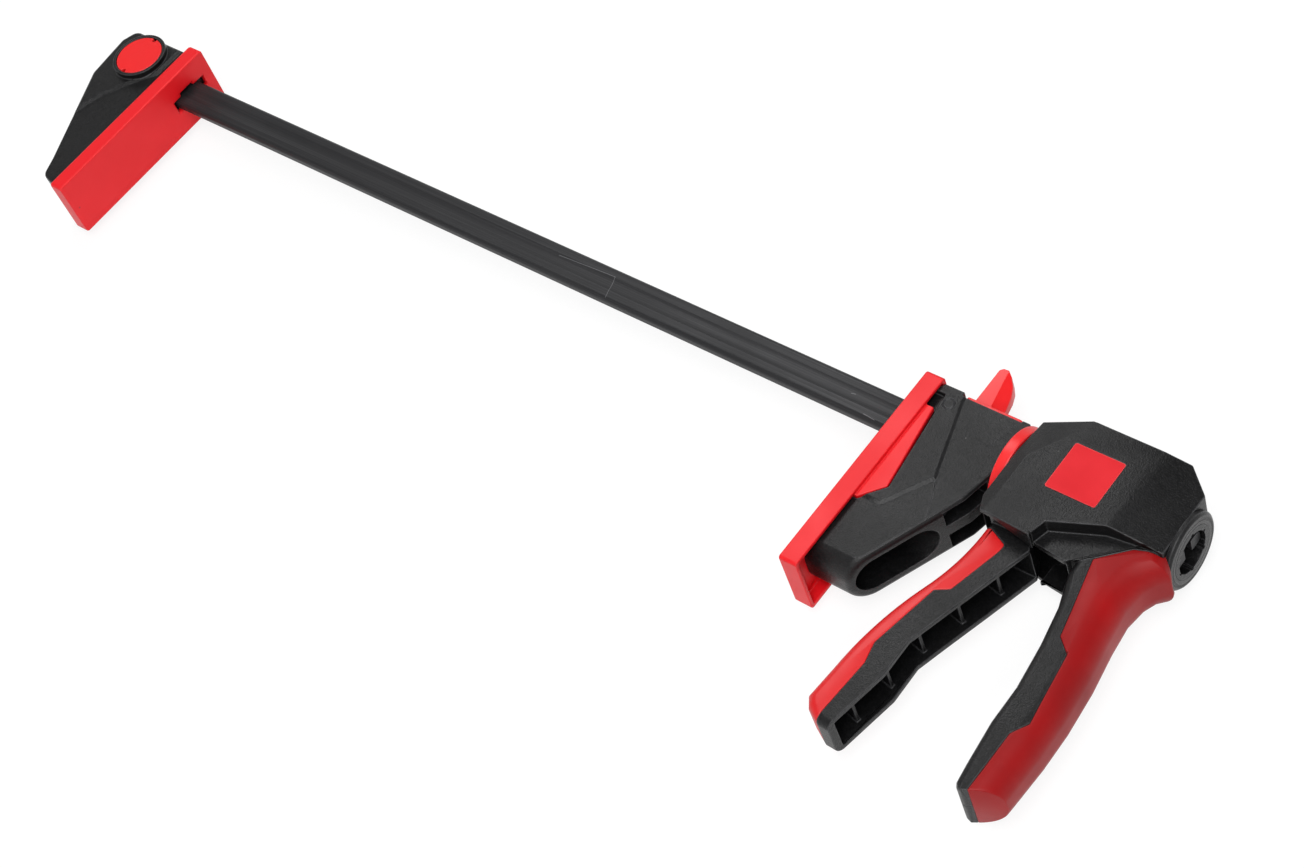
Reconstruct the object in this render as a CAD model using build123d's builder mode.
from build123d import *
import os
from math import cos, radians, sin

os.makedirs("parts", exist_ok=True)

# Quick release bar clamp with a handle that swivels about its rail.
# It lies on its side: X runs along the rail from the fixed jaw to the handle, the jaws and the
# handle reach towards -Y, and the origin is the centre of the fixed jaw's clamping face.

# ---------------------------------------------------------------- driving dimensions (mm, degrees)
opening = 467.0  # between the pad faces with the jaw fully back
throat = 80.0  # from the rail's lower edge to the pads' tips
gap = 0.3  # between neighbours that move
slip = 0.05  # radial clearance of pins and of the swivel

rail_height = 17.4
rail_thick = 6.2
rail_edge = 2.2
rail_groove_radius = 14.0
rail_groove_depth = 0.45
rail_ahead = 14.0  # rail beyond the lock bolt
stop_pin_radius = 1.5
stop_pin_proud = 1.4
stop_pin_inset = 3.2

pad_thick = 9.2
pad_face = 3.8  # solid face behind the clamping surface
pad_rim = 1.9
pad_clear = 0.1  # between a jaw's side and the rim round it
pad_corner = 1.6
pad_lip = 3.3  # pad above the jaw's roof
ear_length = 48.0
ear_rise = 9.5
ear_front = 3.5
ear_heel = 10.0
ear_top = 4.0
ear_clear = 0.5
pocket_top = 12.0

jaw_width = 29.0
jaw_roof = 6.0  # wall above the rail
jaw_edge = 2.0
step_depth = 1.0
step_slope = 60.0
crease_slope = 45.0
crease_depth = 0.8
fixed_jaw_depth = 40.8
fixed_jaw_tip = 1.8  # jaw's end inside the pad's end
movable_jaw_length = 53.0
movable_jaw_tip = 9.0
wall = 2.6  # mouldings

lock_offset = 21.8  # bolt behind the fixed pad
lock_radius = 4.5
waist_radius = 2.4
button_radius = 12.7
button_thick = 3.0
button_sunk = 0.2
bezel_wall = 1.8
bezel_height = 3.0
notch_radius = 1.3
button_wire = 0.25
button_coils = 3.5
cap_thick = 2.0
cap_radius = 6.5

brake_thick = 3.0
brake_tilt = 7.0
brake_width = 18.0
brake_foot = 15.0  # below the rail's axis
brake_head = 1.6  # above the rail
brake_ear = 2.3
cheek_length = 10.0
cheek_drop = 5.0  # below the rail's axis
lever_pin_radius = 1.5
lever_pin_setback = 22.0  # behind the pad's face
lever_pad_width = 24.8
lever_pad_thick = 1.4
lever_pad_length = 27.8
lever_pad_ahead = 1.2  # lever's base in front of its pin
rear_block = 3.8  # raised end of the jaw's roof
rear_rise = 0.9
mould_ring_radius = 2.7
mould_ring_width = 0.4
mould_ring_depth = 0.25
nose_mouth = 18.0
web_half = 3.0
fin_width = 10.0
fin_height = 24.6
fin_ridge_low = 7.6  # from the pin back to the fin's ridge, at its foot and at its top
fin_ridge_high = 2.6
brake_wire = 0.5
chamber_ahead = 7.0  # the brake plate's chamber, from its pin
chamber_behind = 8.5
pin_seat = 0.7  # between the brake plate's head and the lever's pin
brake_coil_radius = 2.3
brake_coils = 4.5

core_radius = 12.0
core_bore = 10.0
core_plug = 12.5  # length inside the jaw
ring_radius = 20.2
ring_thick = 5.4
window_width = 14.6
plate_height = 33.0
plate_thick = 2.6
plate_space = 0.2
thrust_thick = 4.0
thrust_radius = 17.6
drive_wire = 0.8
drive_coils = 6.5
washer_thick = 1.5
clip_thick = 1.0
clip_groove = 0.9
core_recess = 9.5
core_recess_depth = 7.5
teeth = 6  # notches round the recess
tooth_size = 1.7

handle_length = 75.0
housing_half = 22.0
housing_top = 31.0
neck_half = 15.0
grip_half = 14.0
grip_back_round = 11.0
grip_front_round = 4.0
end_round = 1.0
soft_thick = 2.2
collar_radius = 17.0
collar_thick = 3.0
badge_size = 23.5
badge_thick = 0.5
screw_radius = 1.5
screw_head_radius = 2.8
screw_head_depth = 2.5

trigger_half = 11.0
trigger_wall = 2.4
trigger_skin = 1.6  # hard wall under the soft front
channel_top = -35.0
rib_lean = -12.0
trigger_round = 4.0
trigger_travel = 15.0
fork_thick = 3.2
fork_eye = 4.5
trigger_pin_radius = 2.5
rib_thick = 1.6
rib_count = 5
soft_front = 2.0
soft_side = 1.0
skin_corner = 1.6  # of the soft skins' outlines
badge_setback = 31.8
screw_bite = 6.0
washer_setback = 13.0  # from the housing's rear to its room for the spring
mouth_half = 12.3
pin_reach = 18.0
fork_reach = 20.2  # from the housing's front to the fork's rear edge
pivot_setback = 14.0
pivot_y = 16.0
grip_setback = 29.0  # from the housing's rear to the grip's top front edge
guide_length = 6.0
washer_radius = 16.5

# ---------------------------------------------------------------- what follows from them
rail_top = rail_height / 2
jaw_half = jaw_width / 2
jaw_top = rail_top + jaw_roof
pad_width = jaw_width + 2 * (pad_rim + pad_clear)
pad_top = jaw_top + pad_lip
pad_tip = throat + rail_top
bar_y = (pad_tip - pad_top) / 2  # the rail's axis above the centre of the pads
slot_height = rail_height + 2 * gap
slot_width = rail_thick + 2 * gap

lock_x = -pad_thick - lock_offset
jaw_rear = opening + movable_jaw_length
handle_x = jaw_rear + ring_thick + gap
grip_front = handle_length - grip_setback
washer_room = handle_length - washer_setback
collar_x = handle_x + handle_length
core_end = collar_x + collar_thick
core_start = jaw_rear - core_plug
rail_start = lock_x - rail_ahead
rail_end = core_end - 2.0
fork_inside = core_radius + 2 * gap
fork_outside = fork_inside + fork_thick
thrust_arm = pivot_y + (thrust_radius**2 - fork_inside**2) ** 0.5 + 1.2


def side(z, x=0.0):
    """A plane parallel to the jaws' sides, with its origin on the rail's axis."""
    return Plane(origin=(x, bar_y, z))


def across(x):
    """A plane across the rail: its x is the part's Y and its y is the part's Z."""
    return Plane(origin=(x, bar_y, 0), x_dir=(0, 1, 0), z_dir=(1, 0, 0))


def from_above(y, x=0.0):
    """A plane seen along the jaws: its x is the part's X and its y is the part's -Z."""
    return Plane(origin=(x, bar_y + y, 0), x_dir=(1, 0, 0), z_dir=(0, 1, 0))


def save(part, name):
    part.label = name
    export_step(part, f"parts/{name}.step")


def tube_section(radius, bore):
    Circle(radius)
    Circle(bore, mode=Mode.SUBTRACT)


def coil(base, length, coils, radius, wire):
    """A compression spring that stands on the plane base, along its normal."""
    free = length - 2 * wire
    with BuildPart() as spring:
        with BuildLine() as path:
            Helix(pitch=free / coils, height=free, radius=radius, center=base.offset(wire).origin,
                  direction=base.z_dir)
        start = path.line @ 0
        with BuildSketch(Plane(origin=start, z_dir=path.line % 0)):
            Circle(wire)
        sweep(is_frenet=True)
    return spring.part


# ---------------------------------------------------------------- rail
stop_x = core_end - core_recess_depth + gap + stop_pin_radius
stop_places = [(stop_x, rail_top - stop_pin_inset), (stop_x, stop_pin_inset - rail_top)]
with BuildPart() as rail:
    with BuildSketch(across(rail_start)):
        RectangleRounded(rail_height, rail_thick, rail_edge)
        groove_centre = rail_thick / 2 + rail_groove_radius - rail_groove_depth
        with Locations((0, groove_centre), (0, -groove_centre)):
            Circle(rail_groove_radius, mode=Mode.SUBTRACT)
    extrude(amount=rail_end - rail_start)
    keyhole_rear = rail_end - rail_ahead
    with BuildSketch(side(-rail_thick)):
        with Locations((lock_x, 0), (keyhole_rear, 0)):
            Circle(lock_radius + slip)
        with Locations((lock_x - rail_ahead / 2, 0), (keyhole_rear + rail_ahead / 2, 0)):
            Rectangle(rail_ahead, 2 * (waist_radius + slip))
    extrude(amount=2 * rail_thick, mode=Mode.SUBTRACT)
    with BuildSketch(side(-rail_thick)):
        with Locations(stop_places):
            Circle(stop_pin_radius)
    extrude(amount=2 * rail_thick, mode=Mode.SUBTRACT)
save(rail.part, "rail")

with BuildPart() as rail_stop_pins:
    with BuildSketch(side(-rail_thick / 2 - stop_pin_proud)):
        with Locations(stop_places):
            Circle(stop_pin_radius)
    extrude(amount=rail_thick + 2 * stop_pin_proud)
save(rail_stop_pins.part, "rail_stop_pins")


# ---------------------------------------------------------------- jaw pads
def ear_outline(top, grow):
    """The outline of an ear behind the pad's rim, up to top, grown by grow for its pocket."""
    return [(-wall, top), (ear_front + grow, top), (ear_rise + grow, ear_heel - ear_length),
            (1.0, -ear_length - grow), (-wall, -ear_length - grow)]


def jaw_pad(face_x, away, ears):
    """A red tray on a jaw. Its clamping face is at face_x and away is +1 or -1, its back's side."""
    back_x = face_x + away * pad_thick
    floor_x = face_x + away * pad_face
    middle = (pad_top - pad_tip) / 2
    height = pad_top + pad_tip
    with BuildPart() as pad:
        with BuildSketch(across(face_x)):
            with Locations((middle, 0)):
                RectangleRounded(height, pad_width, pad_corner)
        extrude(amount=away * pad_thick)
        front = pad.faces().sort_by(Axis.X)[-1 if away < 0 else 0]
        fillet(front.edges(), pad_corner / 2)
        with BuildSketch(across(floor_x)):
            with Locations((middle, 0)):
                RectangleRounded(height - 2 * pad_rim, pad_width - 2 * pad_rim, pad_corner / 2)
        extrude(amount=away * pad_thick, mode=Mode.SUBTRACT)
        if ears:
            with BuildSketch(side(jaw_half - wall, back_x)):
                with BuildLine():
                    Polyline(*ear_outline(ear_top, 0), close=True)
                make_face()
            extrude(amount=wall + pad_width / 2 - jaw_half - pad_rim)
            mirror(about=Plane.XY)
        with BuildSketch(across(face_x)):
            with Locations((1.0, 0)):
                Rectangle(slot_height + 4.0, slot_width)
            Rectangle(rail_top, slot_width + 4.0)
        extrude(amount=away * pad_thick, mode=Mode.SUBTRACT)
    return pad.part


save(jaw_pad(0.0, -1, False), "fixed_jaw_pad")
save(jaw_pad(opening, 1, True), "movable_jaw_pad")


def step_back(points, depth, slope):
    """Cuts a region of a jaw's two sides back, with a slanted edge round it."""
    with BuildSketch(side(jaw_half - depth), mode=Mode.PRIVATE) as region:
        with BuildLine():
            Polyline(*points, close=True)
        make_face()
    step = extrude(region.sketch, depth + gap, taper=-slope)
    add(step, mode=Mode.SUBTRACT)
    add(mirror(step, about=Plane.XY), mode=Mode.SUBTRACT)


# ---------------------------------------------------------------- fixed jaw
fixed_back = -pad_thick - fixed_jaw_depth
bezel_radius = button_radius + gap + bezel_wall
bezel_top = jaw_half + bezel_height
button_top = bezel_top - button_sunk
lock_travel = rail_thick + 2 * gap
button_floor = button_top - button_thick - lock_travel - gap
bolt_end = -rail_thick / 2 - gap
cap_top = -jaw_half + cap_thick
with BuildPart() as fixed_jaw_body:
    with BuildSketch(side(-jaw_half)):
        with BuildLine():
            Polyline(
                (-pad_face, jaw_top),
                (fixed_back, jaw_top),
                (fixed_back - 3.6, 6.0),
                (fixed_back - 1.2, -19.0),
                (fixed_back + 24.8, -73.6),
                (-21.0, 4.5 - pad_tip),
                (-pad_thick, fixed_jaw_tip - pad_tip),
                (-pad_thick, pad_rim + gap - pad_tip),
                (-pad_face, pad_rim + gap - pad_tip),
                close=True,
            )
        make_face()
        fillet(vertices().sort_by(Axis.X)[:3], 5.0)
        fillet(vertices().sort_by_distance((-21.0, 4.5 - pad_tip, 0))[0], 6.0)
    extrude(amount=jaw_width)
    rims = faces().filter_by(Axis.Z).edges().filter_by(lambda e: e.center().X < -pad_thick)
    fillet(rims, jaw_edge)
    step_back([(-13.5, jaw_top + 4), (-13.5, -4.0), (-24.5, -17.0), (-29.0, -24.0), (-32.6, -28.2),
               (-36.5, -39.0), (-38.5, -46.0), (fixed_back - 9, -46.0), (fixed_back - 9, -pad_tip - 9),
               (0, -pad_tip - 9), (0, jaw_top + 4)], step_depth, step_slope)
    with BuildSketch(side(0)):
        with Locations((lock_x, 0)):
            Circle(bezel_radius)
    extrude(amount=bezel_top)
    with BuildSketch(side(button_floor)):
        with Locations((lock_x, 0)):
            Circle(button_radius + gap)
    extrude(amount=bezel_top, mode=Mode.SUBTRACT)
    with BuildSketch(side(-jaw_half)):
        with Locations((lock_x, 0)):
            Circle(lock_radius + slip)
    extrude(amount=jaw_width, mode=Mode.SUBTRACT)
    with BuildSketch(side(-jaw_half)):
        with Locations((lock_x, 0)):
            Circle(cap_radius)
    extrude(amount=cap_thick, mode=Mode.SUBTRACT)
    with BuildSketch(across(rail_start - gap)):
        Rectangle(slot_height, slot_width)
    extrude(amount=rail_end - rail_start, mode=Mode.SUBTRACT)
save(fixed_jaw_body.part, "fixed_jaw_body")

with BuildPart() as spring_cap:
    with BuildSketch(side(-jaw_half)):
        with Locations((lock_x, 0)):
            Circle(cap_radius)
    extrude(amount=cap_thick)
save(spring_cap.part, "spring_cap")

with BuildPart() as release_button:
    with BuildSketch(side(button_top - button_thick)):
        with Locations((lock_x, 0)):
            Circle(button_radius)
        notch_y = button_radius - notch_radius / 2
        with Locations((lock_x, notch_y), (lock_x, -notch_y)):
            Circle(notch_radius, mode=Mode.SUBTRACT)
    extrude(amount=button_thick)
save(release_button.part, "release_button")

waist_bottom = rail_thick / 2 + gap
with BuildPart() as lock_bolt:
    with BuildSketch(side(bolt_end)):
        with Locations((lock_x, 0)):
            Circle(lock_radius)
    extrude(amount=button_top - button_thick - bolt_end)
    with BuildSketch(side(waist_bottom)):
        with Locations((lock_x, 0)):
            tube_section(lock_radius + 1, waist_radius)
    extrude(amount=lock_travel, mode=Mode.SUBTRACT)
save(lock_bolt.part, "lock_bolt")

button_spring = coil(Plane((lock_x, bar_y, cap_top)), bolt_end - cap_top, button_coils,
                     lock_radius - 2 * button_wire - gap, button_wire)
save(button_spring, "button_spring")

# ---------------------------------------------------------------- movable jaw
brake_x = opening + lever_pin_setback  # the lever's pin, above the brake plate
pin_y = rail_top + brake_head + gap + lever_pin_radius + pin_seat
chamber_half = brake_width / 2 + brake_ear + 2 * gap
chamber_front = brake_x - chamber_ahead
chamber_rear = brake_x + chamber_behind
nose_x = opening + 26.5
nose_round = jaw_half - 2.5
nose_top = -41.0
nose_bottom = movable_jaw_tip + wall - pad_tip
pocket_depth = 12.0
pin_half = jaw_half - lever_pin_radius
block_top = jaw_top + gap + lever_pad_thick
block_end = brake_x - lever_pad_ahead - 0.8
rear_top = jaw_top + rear_rise
with BuildPart() as movable_jaw_body:
    with BuildSketch(side(-jaw_half)):
        with BuildLine():
            Polyline(
                (opening + pad_face, jaw_top),
                (opening + pad_thick + gap, jaw_top),
                (opening + pad_thick + 2 * gap, block_top),
                (block_end, block_top),
                (block_end, jaw_top),
                (jaw_rear - rear_block, jaw_top),
                (jaw_rear - rear_block, rear_top),
                (jaw_rear, rear_top),
                (jaw_rear, -jaw_top),
                (jaw_rear - 3.0, -28.0),
                (nose_x, movable_jaw_tip - pad_tip),
                (opening + pad_face, movable_jaw_tip - pad_tip),
                close=True,
            )
        make_face()
        fillet(vertices().sort_by_distance((jaw_rear - 3.0, -28.0, 0))[0], 5.0)
    extrude(amount=jaw_width)
    # the tip is rolled over at both sides, and a smaller round runs on along the mouth's rim
    fillet(faces().filter_by(Axis.Z).edges().group_by(Axis.Y)[0], nose_round)
    rolled_to = bar_y + movable_jaw_tip - pad_tip + nose_round
    mouth_face = faces().filter_by(lambda f: f.normal_at().X > 0.7 and f.center().Y < bar_y - 40)[0]
    rims = faces().filter_by(Axis.Z).edges().filter_by(lambda e: e.center().X > opening + pad_face + 1)
    low_rims = rims.filter_by(lambda e: rolled_to + 1 < e.center().Y < bar_y - 16)
    mouth_rim = mouth_face.edges().filter_by(lambda e: e.center().Y < bar_y - 36)
    fillet(ShapeList(set([*low_rims, *mouth_rim])), 2 * jaw_edge)
    crease = [(opening + 34.2, -26.0), (opening + 40.5, -41.0), (opening + 47.0, -57.0)]
    step_back([(opening + 21.0, -47.0), *crease, (opening + 47.0, -pad_tip), (opening, -pad_tip),
               (opening, -47.0)], step_depth, step_slope)
    step_back([(opening + 21.4, block_top + 3), (opening + 22.0, 12.0), *crease, (jaw_rear + 5, -57.0),
               (jaw_rear + 5, block_top + 3)], crease_depth, crease_slope)
    with BuildSketch(side(jaw_half - mould_ring_depth)):
        with Locations((opening + 17.3, 8.4)):
            tube_section(mould_ring_radius, mould_ring_radius - mould_ring_width)
    extrude(amount=mould_ring_depth, mode=Mode.SUBTRACT)
    for depth, way in ((jaw_half - wall - slip, 1), (wall + slip - jaw_half, -1)):
        with BuildSketch(side(depth, opening + pad_thick)):
            with BuildLine():
                Polyline(*ear_outline(pocket_top, ear_clear), close=True)
            make_face()
        extrude(amount=way * jaw_half, mode=Mode.SUBTRACT)
    # the way through for the rail, and the chamber of the brake plate, open to the lever above it
    with BuildSketch(across(opening)):
        Rectangle(slot_height, slot_width)
    extrude(amount=movable_jaw_length, mode=Mode.SUBTRACT)
    with BuildSketch(across(chamber_front)):
        with Locations(((jaw_top - brake_foot) / 2, 0)):
            Rectangle(jaw_top + brake_foot, 2 * chamber_half)
    extrude(amount=chamber_rear - chamber_front, mode=Mode.SUBTRACT)
    # the pin of the lever, in two blind holes
    with BuildSketch(side(-pin_half)):
        with Locations((brake_x, pin_y)):
            Circle(lever_pin_radius)
    extrude(amount=2 * pin_half, mode=Mode.SUBTRACT)
    # the socket of the swivel core
    with BuildSketch(across(core_start)):
        Circle(core_radius + slip)
    extrude(amount=core_plug + gap, mode=Mode.SUBTRACT)
    # the hollow nose, open to the rear through an oval mouth
    with BuildSketch(across(opening + pad_thick + wall)):
        with Locations(((nose_top + nose_bottom) / 2, 0)):
            SlotOverall(nose_top - nose_bottom, nose_mouth)
    extrude(amount=movable_jaw_length, mode=Mode.SUBTRACT)
    # pockets beside the web above the mouth
    with BuildSketch(across(jaw_rear - pocket_depth)):
        with Locations(((nose_top + wall - jaw_top) / 2, (web_half + jaw_half - wall) / 2),
                       ((nose_top + wall - jaw_top) / 2, -(web_half + jaw_half - wall) / 2)):
            Rectangle(-jaw_top - nose_top - wall - 2, jaw_half - wall - web_half)
    extrude(amount=pocket_depth + gap, mode=Mode.SUBTRACT)
save(movable_jaw_body.part, "movable_jaw_body")

with BuildPart() as lever_pin:
    with BuildSketch(side(-pin_half)):
        with Locations((brake_x, pin_y)):
            Circle(lever_pin_radius)
    extrude(amount=2 * pin_half)
save(lever_pin.part, "lever_pin")

# ---------------------------------------------------------------- release lever and brake plate
# Both turn about the lever's pin. At rest the plate leans by brake_tilt and bites the rail.
leaning = Plane(origin=(brake_x, bar_y + pin_y, 0), x_dir=Vector(0, 1, 0).rotate(Axis.Z, -brake_tilt),
                z_dir=Vector(1, 0, 0).rotate(Axis.Z, -brake_tilt))
lean = radians(brake_tilt)
plate_window = (rail_height + brake_thick * sin(lean)) / cos(lean) + 2 * gap
plate_head = rail_top + brake_head - pin_y
plate_low = gap - brake_foot - pin_y
with BuildPart() as brake_plate:
    with BuildSketch(leaning.offset(-brake_thick / 2)):
        with Locations(((plate_head + plate_low) / 2, 0)):
            Rectangle(plate_head - plate_low, brake_width)
        with Locations((-pin_y, 0)):
            Rectangle(2 * brake_ear, brake_width + 2 * brake_ear)
            Rectangle(plate_window, slot_width, mode=Mode.SUBTRACT)
    extrude(amount=brake_thick)
save(brake_plate.part, "brake_plate")

base_y = jaw_top + gap
# the thumb fin, thick in front and sharp behind
with BuildPart() as fin:
    with BuildSketch(side(-fin_width / 2, brake_x)):
        with BuildLine():
            Polyline((-lever_pad_ahead, base_y), (-lever_pad_ahead, base_y + fin_height - 1.4),
                     (0.2, base_y + fin_height), (2.6, base_y + fin_height + 0.2),
                     (5.2, base_y + fin_height - 1.8), (8.2, base_y + fin_height - 5.6),
                     (10.2, base_y + fin_height - 10.2), (11.6, base_y + 8.4), (12.6, base_y), close=True)
        make_face()
    extrude(amount=fin_width)
    for height, ridge in ((base_y - 1, fin_ridge_low), (base_y + fin_height + 1, fin_ridge_high)):
        with BuildSketch(from_above(height, brake_x)):
            with BuildLine():
                Polyline((-fin_width, fin_width / 2), (ridge, fin_width / 2), (14.0, 0.8), (14.0, -0.8),
                         (ridge, -fin_width / 2), (-fin_width, -fin_width / 2), close=True)
            make_face()
    loft(ruled=True, mode=Mode.INTERSECT)

with BuildPart() as release_lever:
    base_front = brake_x - lever_pad_ahead
    with BuildSketch(from_above(base_y)):
        with Locations((base_front + lever_pad_length / 2, 0)):
            RectangleRounded(lever_pad_length, lever_pad_width, 1.5)
    extrude(amount=lever_pad_thick)
    # two cheeks beside the rail, that hold the plate by its ears
    with BuildSketch(side(-brake_width / 2 - brake_ear)):
        with Locations((brake_x, (jaw_top - gap - cheek_drop) / 2)):
            Rectangle(cheek_length, jaw_top - gap + cheek_drop)
        with Locations((brake_x + (cheek_length / 2 - lever_pad_ahead) / 2, jaw_top)):
            Rectangle(cheek_length / 2 + lever_pad_ahead, 2 * gap)
    extrude(amount=brake_width + 2 * brake_ear)
    with BuildSketch(side(-brake_width / 2 - slip)):
        with Locations((brake_x, rail_top + brake_head + gap - rail_height)):
            Rectangle(cheek_length + 2, 2 * rail_height)
    extrude(amount=brake_width + 2 * slip, mode=Mode.SUBTRACT)
    with BuildSketch(leaning.offset(-brake_thick / 2)):
        with Locations((-pin_y - rail_height + brake_ear, 0)):
            Rectangle(2 * rail_height, 2 * jaw_width)
    extrude(amount=brake_thick, mode=Mode.SUBTRACT)
    with BuildSketch(side(-jaw_width)):
        with Locations((brake_x, pin_y)):
            Circle(lever_pin_radius + slip)
    extrude(amount=2 * jaw_width, mode=Mode.SUBTRACT)
    add(fin.part)
save(release_lever.part, "release_lever")

# ---------------------------------------------------------------- swivel core, fixed in the movable jaw
thrust_x = handle_x + fork_reach + gap
plates_x = thrust_x + thrust_thick
plates_depth = 2 * plate_thick + plate_space
spring_x = plates_x + plates_depth
clip_x = handle_x + washer_room - 2 * gap - clip_thick
washer_x = clip_x - washer_thick
thrust_travel = radians(trigger_travel) * thrust_arm
recess_x = core_end - core_recess_depth
guide_x = recess_x - guide_length
with BuildPart() as swivel_core:
    with BuildSketch(across(core_start)):
        Circle(core_radius)
        Rectangle(slot_height, slot_width, mode=Mode.SUBTRACT)
    extrude(amount=core_end - core_start)
    with BuildSketch(across(handle_x)):
        Circle(core_bore)
    extrude(amount=guide_x - handle_x, mode=Mode.SUBTRACT)
    with BuildSketch(across(recess_x)):
        Circle(core_recess)
        with PolarLocations(core_recess, teeth, start_angle=20):
            Rectangle(tooth_size, tooth_size)
    extrude(amount=core_recess_depth, mode=Mode.SUBTRACT)
    with BuildSketch(side(-window_width / 2)):
        with Locations(((plates_x - 1 + spring_x + thrust_travel + 1) / 2, 0)):
            Rectangle(spring_x + thrust_travel + 2 - plates_x, 3 * core_radius)
    extrude(amount=window_width, mode=Mode.SUBTRACT)
    with BuildSketch(across(clip_x)):
        tube_section(core_radius + 1, core_radius - clip_groove)
    extrude(amount=clip_thick, mode=Mode.SUBTRACT)
save(swivel_core.part, "swivel_core")

with BuildPart() as swivel_ring:
    with BuildSketch(across(jaw_rear)):
        tube_section(ring_radius, core_radius + slip)
    extrude(amount=ring_thick)
    chamfer(swivel_ring.edges().filter_by(GeomType.CIRCLE).sort_by(SortBy.RADIUS)[-2:], 0.5)
save(swivel_ring.part, "swivel_ring")

with BuildPart() as spring_washer:
    with BuildSketch(across(washer_x)):
        tube_section(washer_radius, core_radius + slip)
    extrude(amount=washer_thick)
save(spring_washer.part, "spring_washer")

with BuildPart() as washer_clip:
    with BuildSketch(across(clip_x)):
        tube_section(core_radius + 1.4, core_radius - clip_groove)
        with Locations((core_radius, 0)):
            Rectangle(core_radius, 6.0, mode=Mode.SUBTRACT)
    extrude(amount=clip_thick)
save(washer_clip.part, "washer_clip")

# ---------------------------------------------------------------- drive
# The trigger's fork pushes the ring, and the ring pushes the plates.
with BuildPart() as thrust_ring:
    with BuildSketch(across(thrust_x)):
        tube_section(thrust_radius, core_radius + gap)
    extrude(amount=thrust_thick)
save(thrust_ring.part, "thrust_ring")

with BuildPart() as drive_plates:
    for n in range(2):
        with BuildSketch(across(plates_x + n * (plate_thick + plate_space))):
            RectangleRounded(plate_height, window_width - 2 * gap, 1.5)
            Rectangle(slot_height, slot_width, mode=Mode.SUBTRACT)
        extrude(amount=plate_thick)
save(drive_plates.part, "drive_plates")

drive_spring = coil(across(spring_x), washer_x - spring_x, drive_coils,
                    core_radius + gap + drive_wire, drive_wire)
save(drive_spring, "drive_spring")

brake_spring_x = brake_x + brake_thick / 2 - (pin_y + brake_foot) * sin(radians(brake_tilt)) + 0.2
brake_spring = coil(Plane(origin=(chamber_rear, bar_y - rail_top - gap - brake_coil_radius - brake_wire, 0),
                          x_dir=(0, 1, 0), z_dir=(-1, 0, 0)),
                    chamber_rear - brake_spring_x - 0.4, brake_coils, brake_coil_radius, brake_wire)
save(brake_spring, "brake_spring")


# ---------------------------------------------------------------- handle
def handle(z):
    """A side plane with its origin on the rail's axis at the housing's front."""
    return side(z, handle_x)


def facet(point, normal, inset):
    """Cuts a corner of the housing off along a plane, and the same corner of the other half."""
    face = Plane(origin=(handle_x + point[0], bar_y + point[1], point[2]), z_dir=normal).offset(-inset)
    split(bisect_by=face, keep=Keep.BOTTOM)
    twin = Plane(origin=(handle_x + point[0], bar_y + point[1], -point[2]),
                 z_dir=(normal[0], normal[1], -normal[2])).offset(-inset)
    split(bisect_by=twin, keep=Keep.BOTTOM)


def housing(inset):
    """The housing's outside, moved inwards by inset."""
    half = housing_half - inset
    with BuildPart() as block:
        with BuildSketch(handle(-half)):
            with BuildLine():
                Polyline((0, 21.5), (14.0, housing_top), (handle_length - 17.0, housing_top),
                         (handle_length, collar_radius), (handle_length, -14.0),
                         (handle_length - 23.5, -16.8), (30.0, -25.8), (27.5, -34.4), (3.5, -33.2),
                         (0, -26.0), close=True)
            make_face()
            if inset:
                offset(amount=-inset, kind=Kind.INTERSECTION)
        extrude(amount=2 * half)
        facet((8.5, 1.5, housing_half), (-0.265, 0.162, 0.950), inset)
        facet((6.0, -10.0, housing_half), (-0.32, 0, 0.95), inset)
        facet((handle_length - 21.5, 0, housing_half), (0.31, 0, 0.951), inset)
        facet((0, 24.8, housing_half - 2.0), (0, 0.94, 0.34), inset)
        facet((0, 17.0, 17.0), (-0.381, 0.875, 0.303), inset)
    return block.part


def rounded_section(front, back, half, front_round, back_round):
    """A face from front to back, with one radius in front and another behind."""
    with BuildSketch() as section:
        with BuildLine():
            Line((front + front_round, -half), (back - back_round, -half))
            CenterArc((back - back_round, back_round - half), back_round, -90, 90)
            Line((back, back_round - half), (back, half - back_round))
            CenterArc((back - back_round, half - back_round), back_round, 0, 90)
            Line((back - back_round, half), (front + front_round, half))
            CenterArc((front + front_round, half - front_round), front_round, 90, 90)
            Line((front, half - front_round), (front, front_round - half))
            CenterArc((front + front_round, front_round - half), front_round, 180, 90)
        make_face()
    return section.sketch


def grip(inset):
    """The grip as a loft of level sections, moved inwards by inset."""
    sections = [  # height, front, back, half width
        (-12.0, 0.0, 32.0, neck_half),
        (-18.0, 0.0, 34.0, neck_half),
        (-22.0, 0.0, 30.0, neck_half),
        (-28.0, 0.0, 27.4, neck_half),
        (-38.0, 0.5, 26.2, 14.6),
        (-52.0, 5.2, 27.8, grip_half),
        (-70.0, 8.6, 30.6, grip_half),
        (-90.0, 11.0, 32.3, grip_half),
        (-107.0, 11.0, 32.6, 13.8),
        (-127.0, 12.9, 31.8, 13.4),
        (-146.0, 15.2, 30.6, 12.8),
    ]
    with BuildPart() as body:
        for y, front, back, half in sections:
            with BuildSketch(from_above(y, handle_x + grip_front)):
                add(rounded_section(front + inset, back - inset, half - inset,
                                    grip_front_round - inset, grip_back_round - inset))
        loft(ruled=True)
        for x, y, normal in ((16.0, -138.6, (0.5, -0.87, 0)), (15.2, -136.5, (-0.6, -0.8, 0))):
            end = Plane(origin=(handle_x + grip_front + x, bar_y + y, 0), z_dir=normal).offset(-inset)
            split(bisect_by=end, keep=Keep.BOTTOM)
        if not inset:
            chamfer(faces().sort_by(Axis.Y)[0].edges(), end_round)
    return body.part


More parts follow.
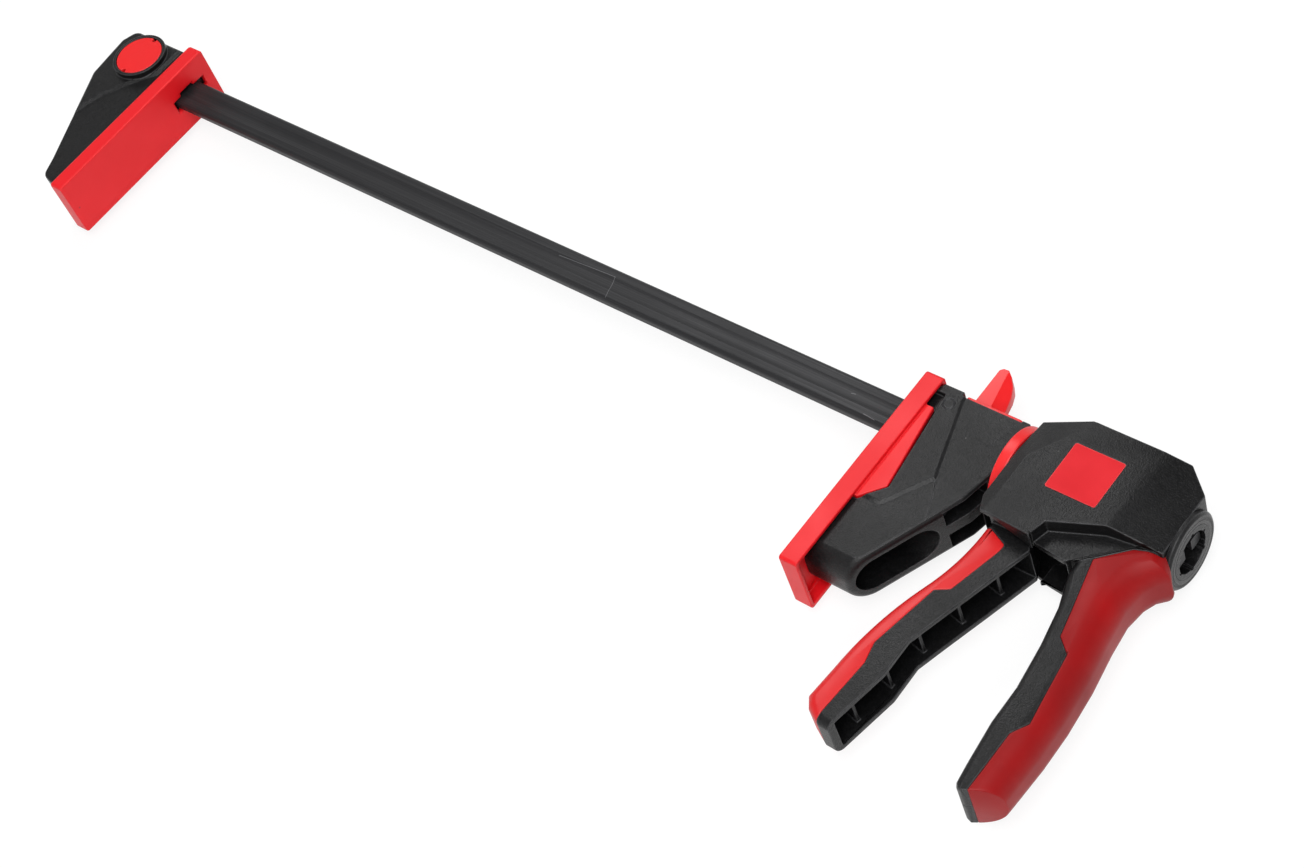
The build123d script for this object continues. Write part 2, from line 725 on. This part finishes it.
# the edge of the soft skin on the grip's sides, from the grip's top front edge
soft_line = [(6.6, -28.4), (18.0, -17.4), (24.0, -15.2), (grip_setback, -14.0), (grip_setback, -9.0),
             (49.0, -9.0), (49.0, -160.0), (20.0, -160.0),
             (20.3, -136.4), (21.0, -108.5), (25.1, -101.4), (21.0, -69.2), (14.3, -63.7)]
with BuildPart() as grip_overmould:
    add(grip(0))
    with BuildSketch(side(-neck_half - 1, handle_x + grip_front)):
        with BuildLine():
            Polyline(*soft_line, close=True)
        make_face()
        fillet(vertices(), skin_corner)
    extrude(amount=2 * neck_half + 2, mode=Mode.INTERSECT)
    add(grip(soft_thick), mode=Mode.SUBTRACT)
    with BuildSketch(across(collar_x)):
        Circle(collar_radius + slip)
    extrude(amount=handle_length, mode=Mode.SUBTRACT)
save(grip_overmould.part, "grip_overmould")

screws = [(36.0, 21.2, housing_half), (handle_length - 9.0, 16.6, 17.5), (grip_front + 5.0, -23.0, neck_half),
          (grip_front + 15.0, -72.0, grip_half), (grip_front + 17.4, -118.0, 13.4)]  # last, the surface
with BuildPart() as cavity:
    add(housing(wall))
    split(bisect_by=Plane.YZ.offset(handle_x + washer_room), keep=Keep.BOTTOM)

with BuildPart() as bosses:
    with BuildSketch(handle(fork_outside + gap)):
        with Locations((pivot_setback, pivot_y)):
            Circle(fork_eye)
    extrude(amount=housing_half)
    mirror(about=Plane.XY)
    with BuildSketch(handle(-housing_half)):
        with Locations(screws[0][:2]):
            Circle(2 * screw_radius)
    extrude(amount=2 * housing_half)
    add(cavity.part, mode=Mode.INTERSECT)

with BuildPart() as handle_whole:
    add(grip(0))
    with BuildSketch(side(-neck_half - 1, handle_x + grip_front)):
        with BuildLine():
            Polyline(*soft_line, close=True)
        make_face()
        fillet(vertices(), skin_corner)
    extrude(amount=2 * neck_half + 2, mode=Mode.SUBTRACT)
    add(grip(soft_thick))
    add(housing(0))
    with BuildSketch(handle(-neck_half)):
        with BuildLine():
            Polyline((20.0, -12.0), (27.5, -33.2), (grip_front - 3.0, -34.8), (grip_front - 1.0, -33.4),
                     *[(grip_front + x, y) for x, y in soft_line[:3]],
                     (handle_length - 3.0, -8.0), close=True)
        make_face()
    extrude(amount=2 * neck_half)
    add(cavity.part, mode=Mode.SUBTRACT)
    with BuildSketch(across(collar_x)):
        Circle(collar_radius + slip)
    extrude(amount=handle_length, mode=Mode.SUBTRACT)
    with BuildSketch(across(handle_x + wall)):
        Circle(thrust_radius + gap)
    extrude(amount=washer_room - wall, mode=Mode.SUBTRACT)
    with BuildSketch(across(handle_x)):
        Circle(core_radius + slip)
    extrude(amount=handle_length, mode=Mode.SUBTRACT)
    # the mouth below, for the trigger
    with BuildSketch(handle(-housing_half + wall)):
        with Locations((wall + 12.4, -30.0)):
            Rectangle(24.8, 20.0)
    extrude(amount=2 * (housing_half - wall), mode=Mode.SUBTRACT)
    with BuildSketch(handle(-mouth_half)):
        with BuildLine():
            Polyline((wall, -16.0), (grip_front - 1.0 - wall, -16.0), (grip_front - 1.0 - wall, -30.0),
                     (grip_front - 1.0, -40.0), (wall, -40.0), close=True)
        make_face()
    extrude(amount=2 * mouth_half, mode=Mode.SUBTRACT)
    # the far cheek ends higher beside the grip
    with BuildSketch(handle(-housing_half)):
        with BuildLine():
            Polyline((12.0, -40.0), (13.5, -33.9), (20.5, -28.8), (27.4, -30.1), (33.0, -31.7),
                     (33.0, -40.0), close=True)
        make_face()
    extrude(amount=housing_half - neck_half, mode=Mode.SUBTRACT)
    add(bosses.part)
    with BuildSketch(handle(-fork_outside - gap)):
        with Locations((pivot_setback, pivot_y)):
            Circle(fork_eye + gap)
    extrude(amount=2 * (fork_outside + gap), mode=Mode.SUBTRACT)
    with BuildSketch(handle(-pin_reach)):
        with Locations((pivot_setback, pivot_y)):
            Circle(trigger_pin_radius)
    extrude(amount=2 * pin_reach, mode=Mode.SUBTRACT)
    for x, y, surface in screws:
        with BuildSketch(handle(-housing_half)):
            with Locations((x, y)):
                Circle(screw_radius)
        extrude(amount=housing_half + screw_bite, mode=Mode.SUBTRACT)
        with BuildSketch(handle(-housing_half)):
            with Locations((x, y)):
                Circle(screw_head_radius + slip)
        extrude(amount=housing_half - surface + screw_head_depth, mode=Mode.SUBTRACT)
    with BuildSketch(handle(housing_half - badge_thick)):
        with Locations((badge_setback, 0)):
            RectangleRounded(badge_size, badge_size, 1.0)
    extrude(amount=housing_half, mode=Mode.SUBTRACT)

for half, name in ((Keep.TOP, "handle_shell_right"), (Keep.BOTTOM, "handle_shell_left")):
    with BuildPart() as shell:
        add(handle_whole.part)
        split(bisect_by=Plane.XY, keep=half)
    save(shell.part, name)

with BuildPart() as handle_screws:
    for x, y, surface in screws:
        with BuildSketch(handle(-surface + screw_head_depth)):
            with Locations((x, y)):
                Circle(screw_radius)
        extrude(amount=surface - screw_head_depth + screw_bite)
        with BuildSketch(handle(-surface + 0.4)):
            with Locations((x, y)):
                Circle(screw_head_radius)
                RegularPolygon(screw_radius, 6, mode=Mode.SUBTRACT)
        extrude(amount=screw_head_depth - 0.4)
save(handle_screws.part, "handle_screws")

with BuildPart() as trigger_pin:
    with BuildSketch(handle(-pin_reach)):
        with Locations((pivot_setback, pivot_y)):
            Circle(trigger_pin_radius)
    extrude(amount=2 * pin_reach)
save(trigger_pin.part, "trigger_pin")

with BuildPart() as blank_badge:
    with BuildSketch(handle(housing_half - badge_thick)):
        with Locations((badge_setback, 0)):
            RectangleRounded(badge_size, badge_size, 1.0)
    extrude(amount=badge_thick)
save(blank_badge.part, "blank_badge")

with BuildPart() as rear_collar:
    with BuildSketch(across(collar_x)):
        tube_section(collar_radius, core_radius + slip)
    extrude(amount=collar_thick)
    chamfer(rear_collar.faces().sort_by(Axis.X)[-1].edges().sort_by(SortBy.RADIUS)[-1], 1.2)
save(rear_collar.part, "rear_collar")


# ---------------------------------------------------------------- trigger
def trigger_block(inset, side_inset, rounding):
    """The trigger's outside below the fork, moved inwards at its front, rear and sides."""
    with BuildPart() as block:
        with BuildSketch(handle(side_inset - trigger_half)):
            with BuildLine():
                Polyline((2.9, -140.4), (8.8, -110.0), (8.6, -93.0), (12.6, -80.0), (19.0, -60.0),
                         (26.8, -35.0), (20.0, -22.0), (4.5, -22.0), (4.5, -34.0))
                upper = ThreePointArc((4.5, -34.0), (3.0, -51.5), (-1.6, -68.0))
                TangentArc((-1.6, -68.0), (-11.6, -116.0), tangent=upper % 1)
                Polyline((-11.6, -116.0), (-12.8, -132.0), (-9.6, -136.4), (-2.2, -140.3), (2.9, -140.4))
            make_face()
            if inset:
                offset(amount=-inset)
        extrude(amount=2 * (trigger_half - side_inset))
        if rounding:
            rims = faces().filter_by(Axis.Z).edges().filter_by(lambda e: e.center().Y < bar_y - 40)
            fillet(rims.filter_by(lambda e: e.center().X < handle_x + 2.5), rounding)
    return block.part


trigger_line = [(-30.0, -33.5), (7.5, -33.5), (16.5, -37.5), (16.3, -41.0), (9.5, -65.0), (3.7, -68.5),
                (-3.0, -100.0), (-1.0, -109.5), (-3.0, -137.0), (-6.0, -150.0), (-30.0, -150.0)]
with BuildPart() as trigger_overmould:
    add(trigger_block(0, 0, trigger_round))
    with BuildSketch(handle(-trigger_half - 1)):
        with BuildLine():
            Polyline(*trigger_line, close=True)
        make_face()
        fillet(vertices(), skin_corner)
    extrude(amount=2 * trigger_half + 2, mode=Mode.INTERSECT)
    add(trigger_block(soft_front, soft_side, trigger_round - soft_front), mode=Mode.SUBTRACT)
save(trigger_overmould.part, "trigger_overmould")

with BuildPart() as channel:
    add(trigger_block(soft_front + trigger_skin, trigger_wall, 0))
    add(channel.part.moved(Location((trigger_wall, 0, 0))))
    add(channel.part.moved(Location((2 * trigger_wall, 0, 0))))
    with BuildSketch(handle(-trigger_half)):
        with Locations((0, channel_top - 75.0)):
            Rectangle(100.0, 150.0)
    extrude(amount=2 * trigger_half, mode=Mode.INTERSECT)

with BuildPart() as ribs:
    with BuildSketch(handle(-trigger_half)):
        for n in range(rib_count):
            along = (n + 0.6) / rib_count
            middle = (14.0 - 19.0 * along, channel_top - 96.0 * along, 0)
            with Locations(Location(middle, (0, 0, rib_lean))):
                Rectangle(50.0, rib_thick)
    extrude(amount=2 * trigger_half)
    add(trigger_block(soft_front + trigger_skin, trigger_wall, 0), mode=Mode.INTERSECT)

with BuildPart() as trigger_lever:
    add(trigger_block(0, 0, trigger_round))
    add(channel.part, mode=Mode.SUBTRACT)
    add(ribs.part)
    # the fork: a yoke above the block and two cheeks that reach past the core to the pin
    with BuildSketch(handle(-fork_outside)):
        with BuildLine():
            Polyline((5.0, -20.5), (15.0, -20.5), (15.0, -27.0), (13.0, -30.5), (5.0, -30.5), close=True)
        make_face()
    extrude(amount=2 * fork_outside)
    with BuildSketch(handle(fork_inside)):
        with BuildLine():
            Polyline((pivot_setback - fork_eye, pivot_y), (5.0, -18.0), (5.0, -30.5), (13.0, -30.5),
                     (15.0, -27.0), (15.0, -19.0), (fork_reach, -13.5), (fork_reach, 13.5),
                     (pivot_setback + fork_eye, pivot_y), close=True)
        make_face()
        with Locations((pivot_setback, pivot_y)):
            Circle(fork_eye)
    extrude(amount=fork_thick)
    mirror(about=Plane.XY)
    add(trigger_overmould.part, mode=Mode.SUBTRACT)
    with BuildSketch(handle(-fork_outside)):
        with Locations((pivot_setback, pivot_y)):
            Circle(trigger_pin_radius + slip)
    extrude(amount=2 * fork_outside, mode=Mode.SUBTRACT)
save(trigger_lever.part, "trigger_lever")
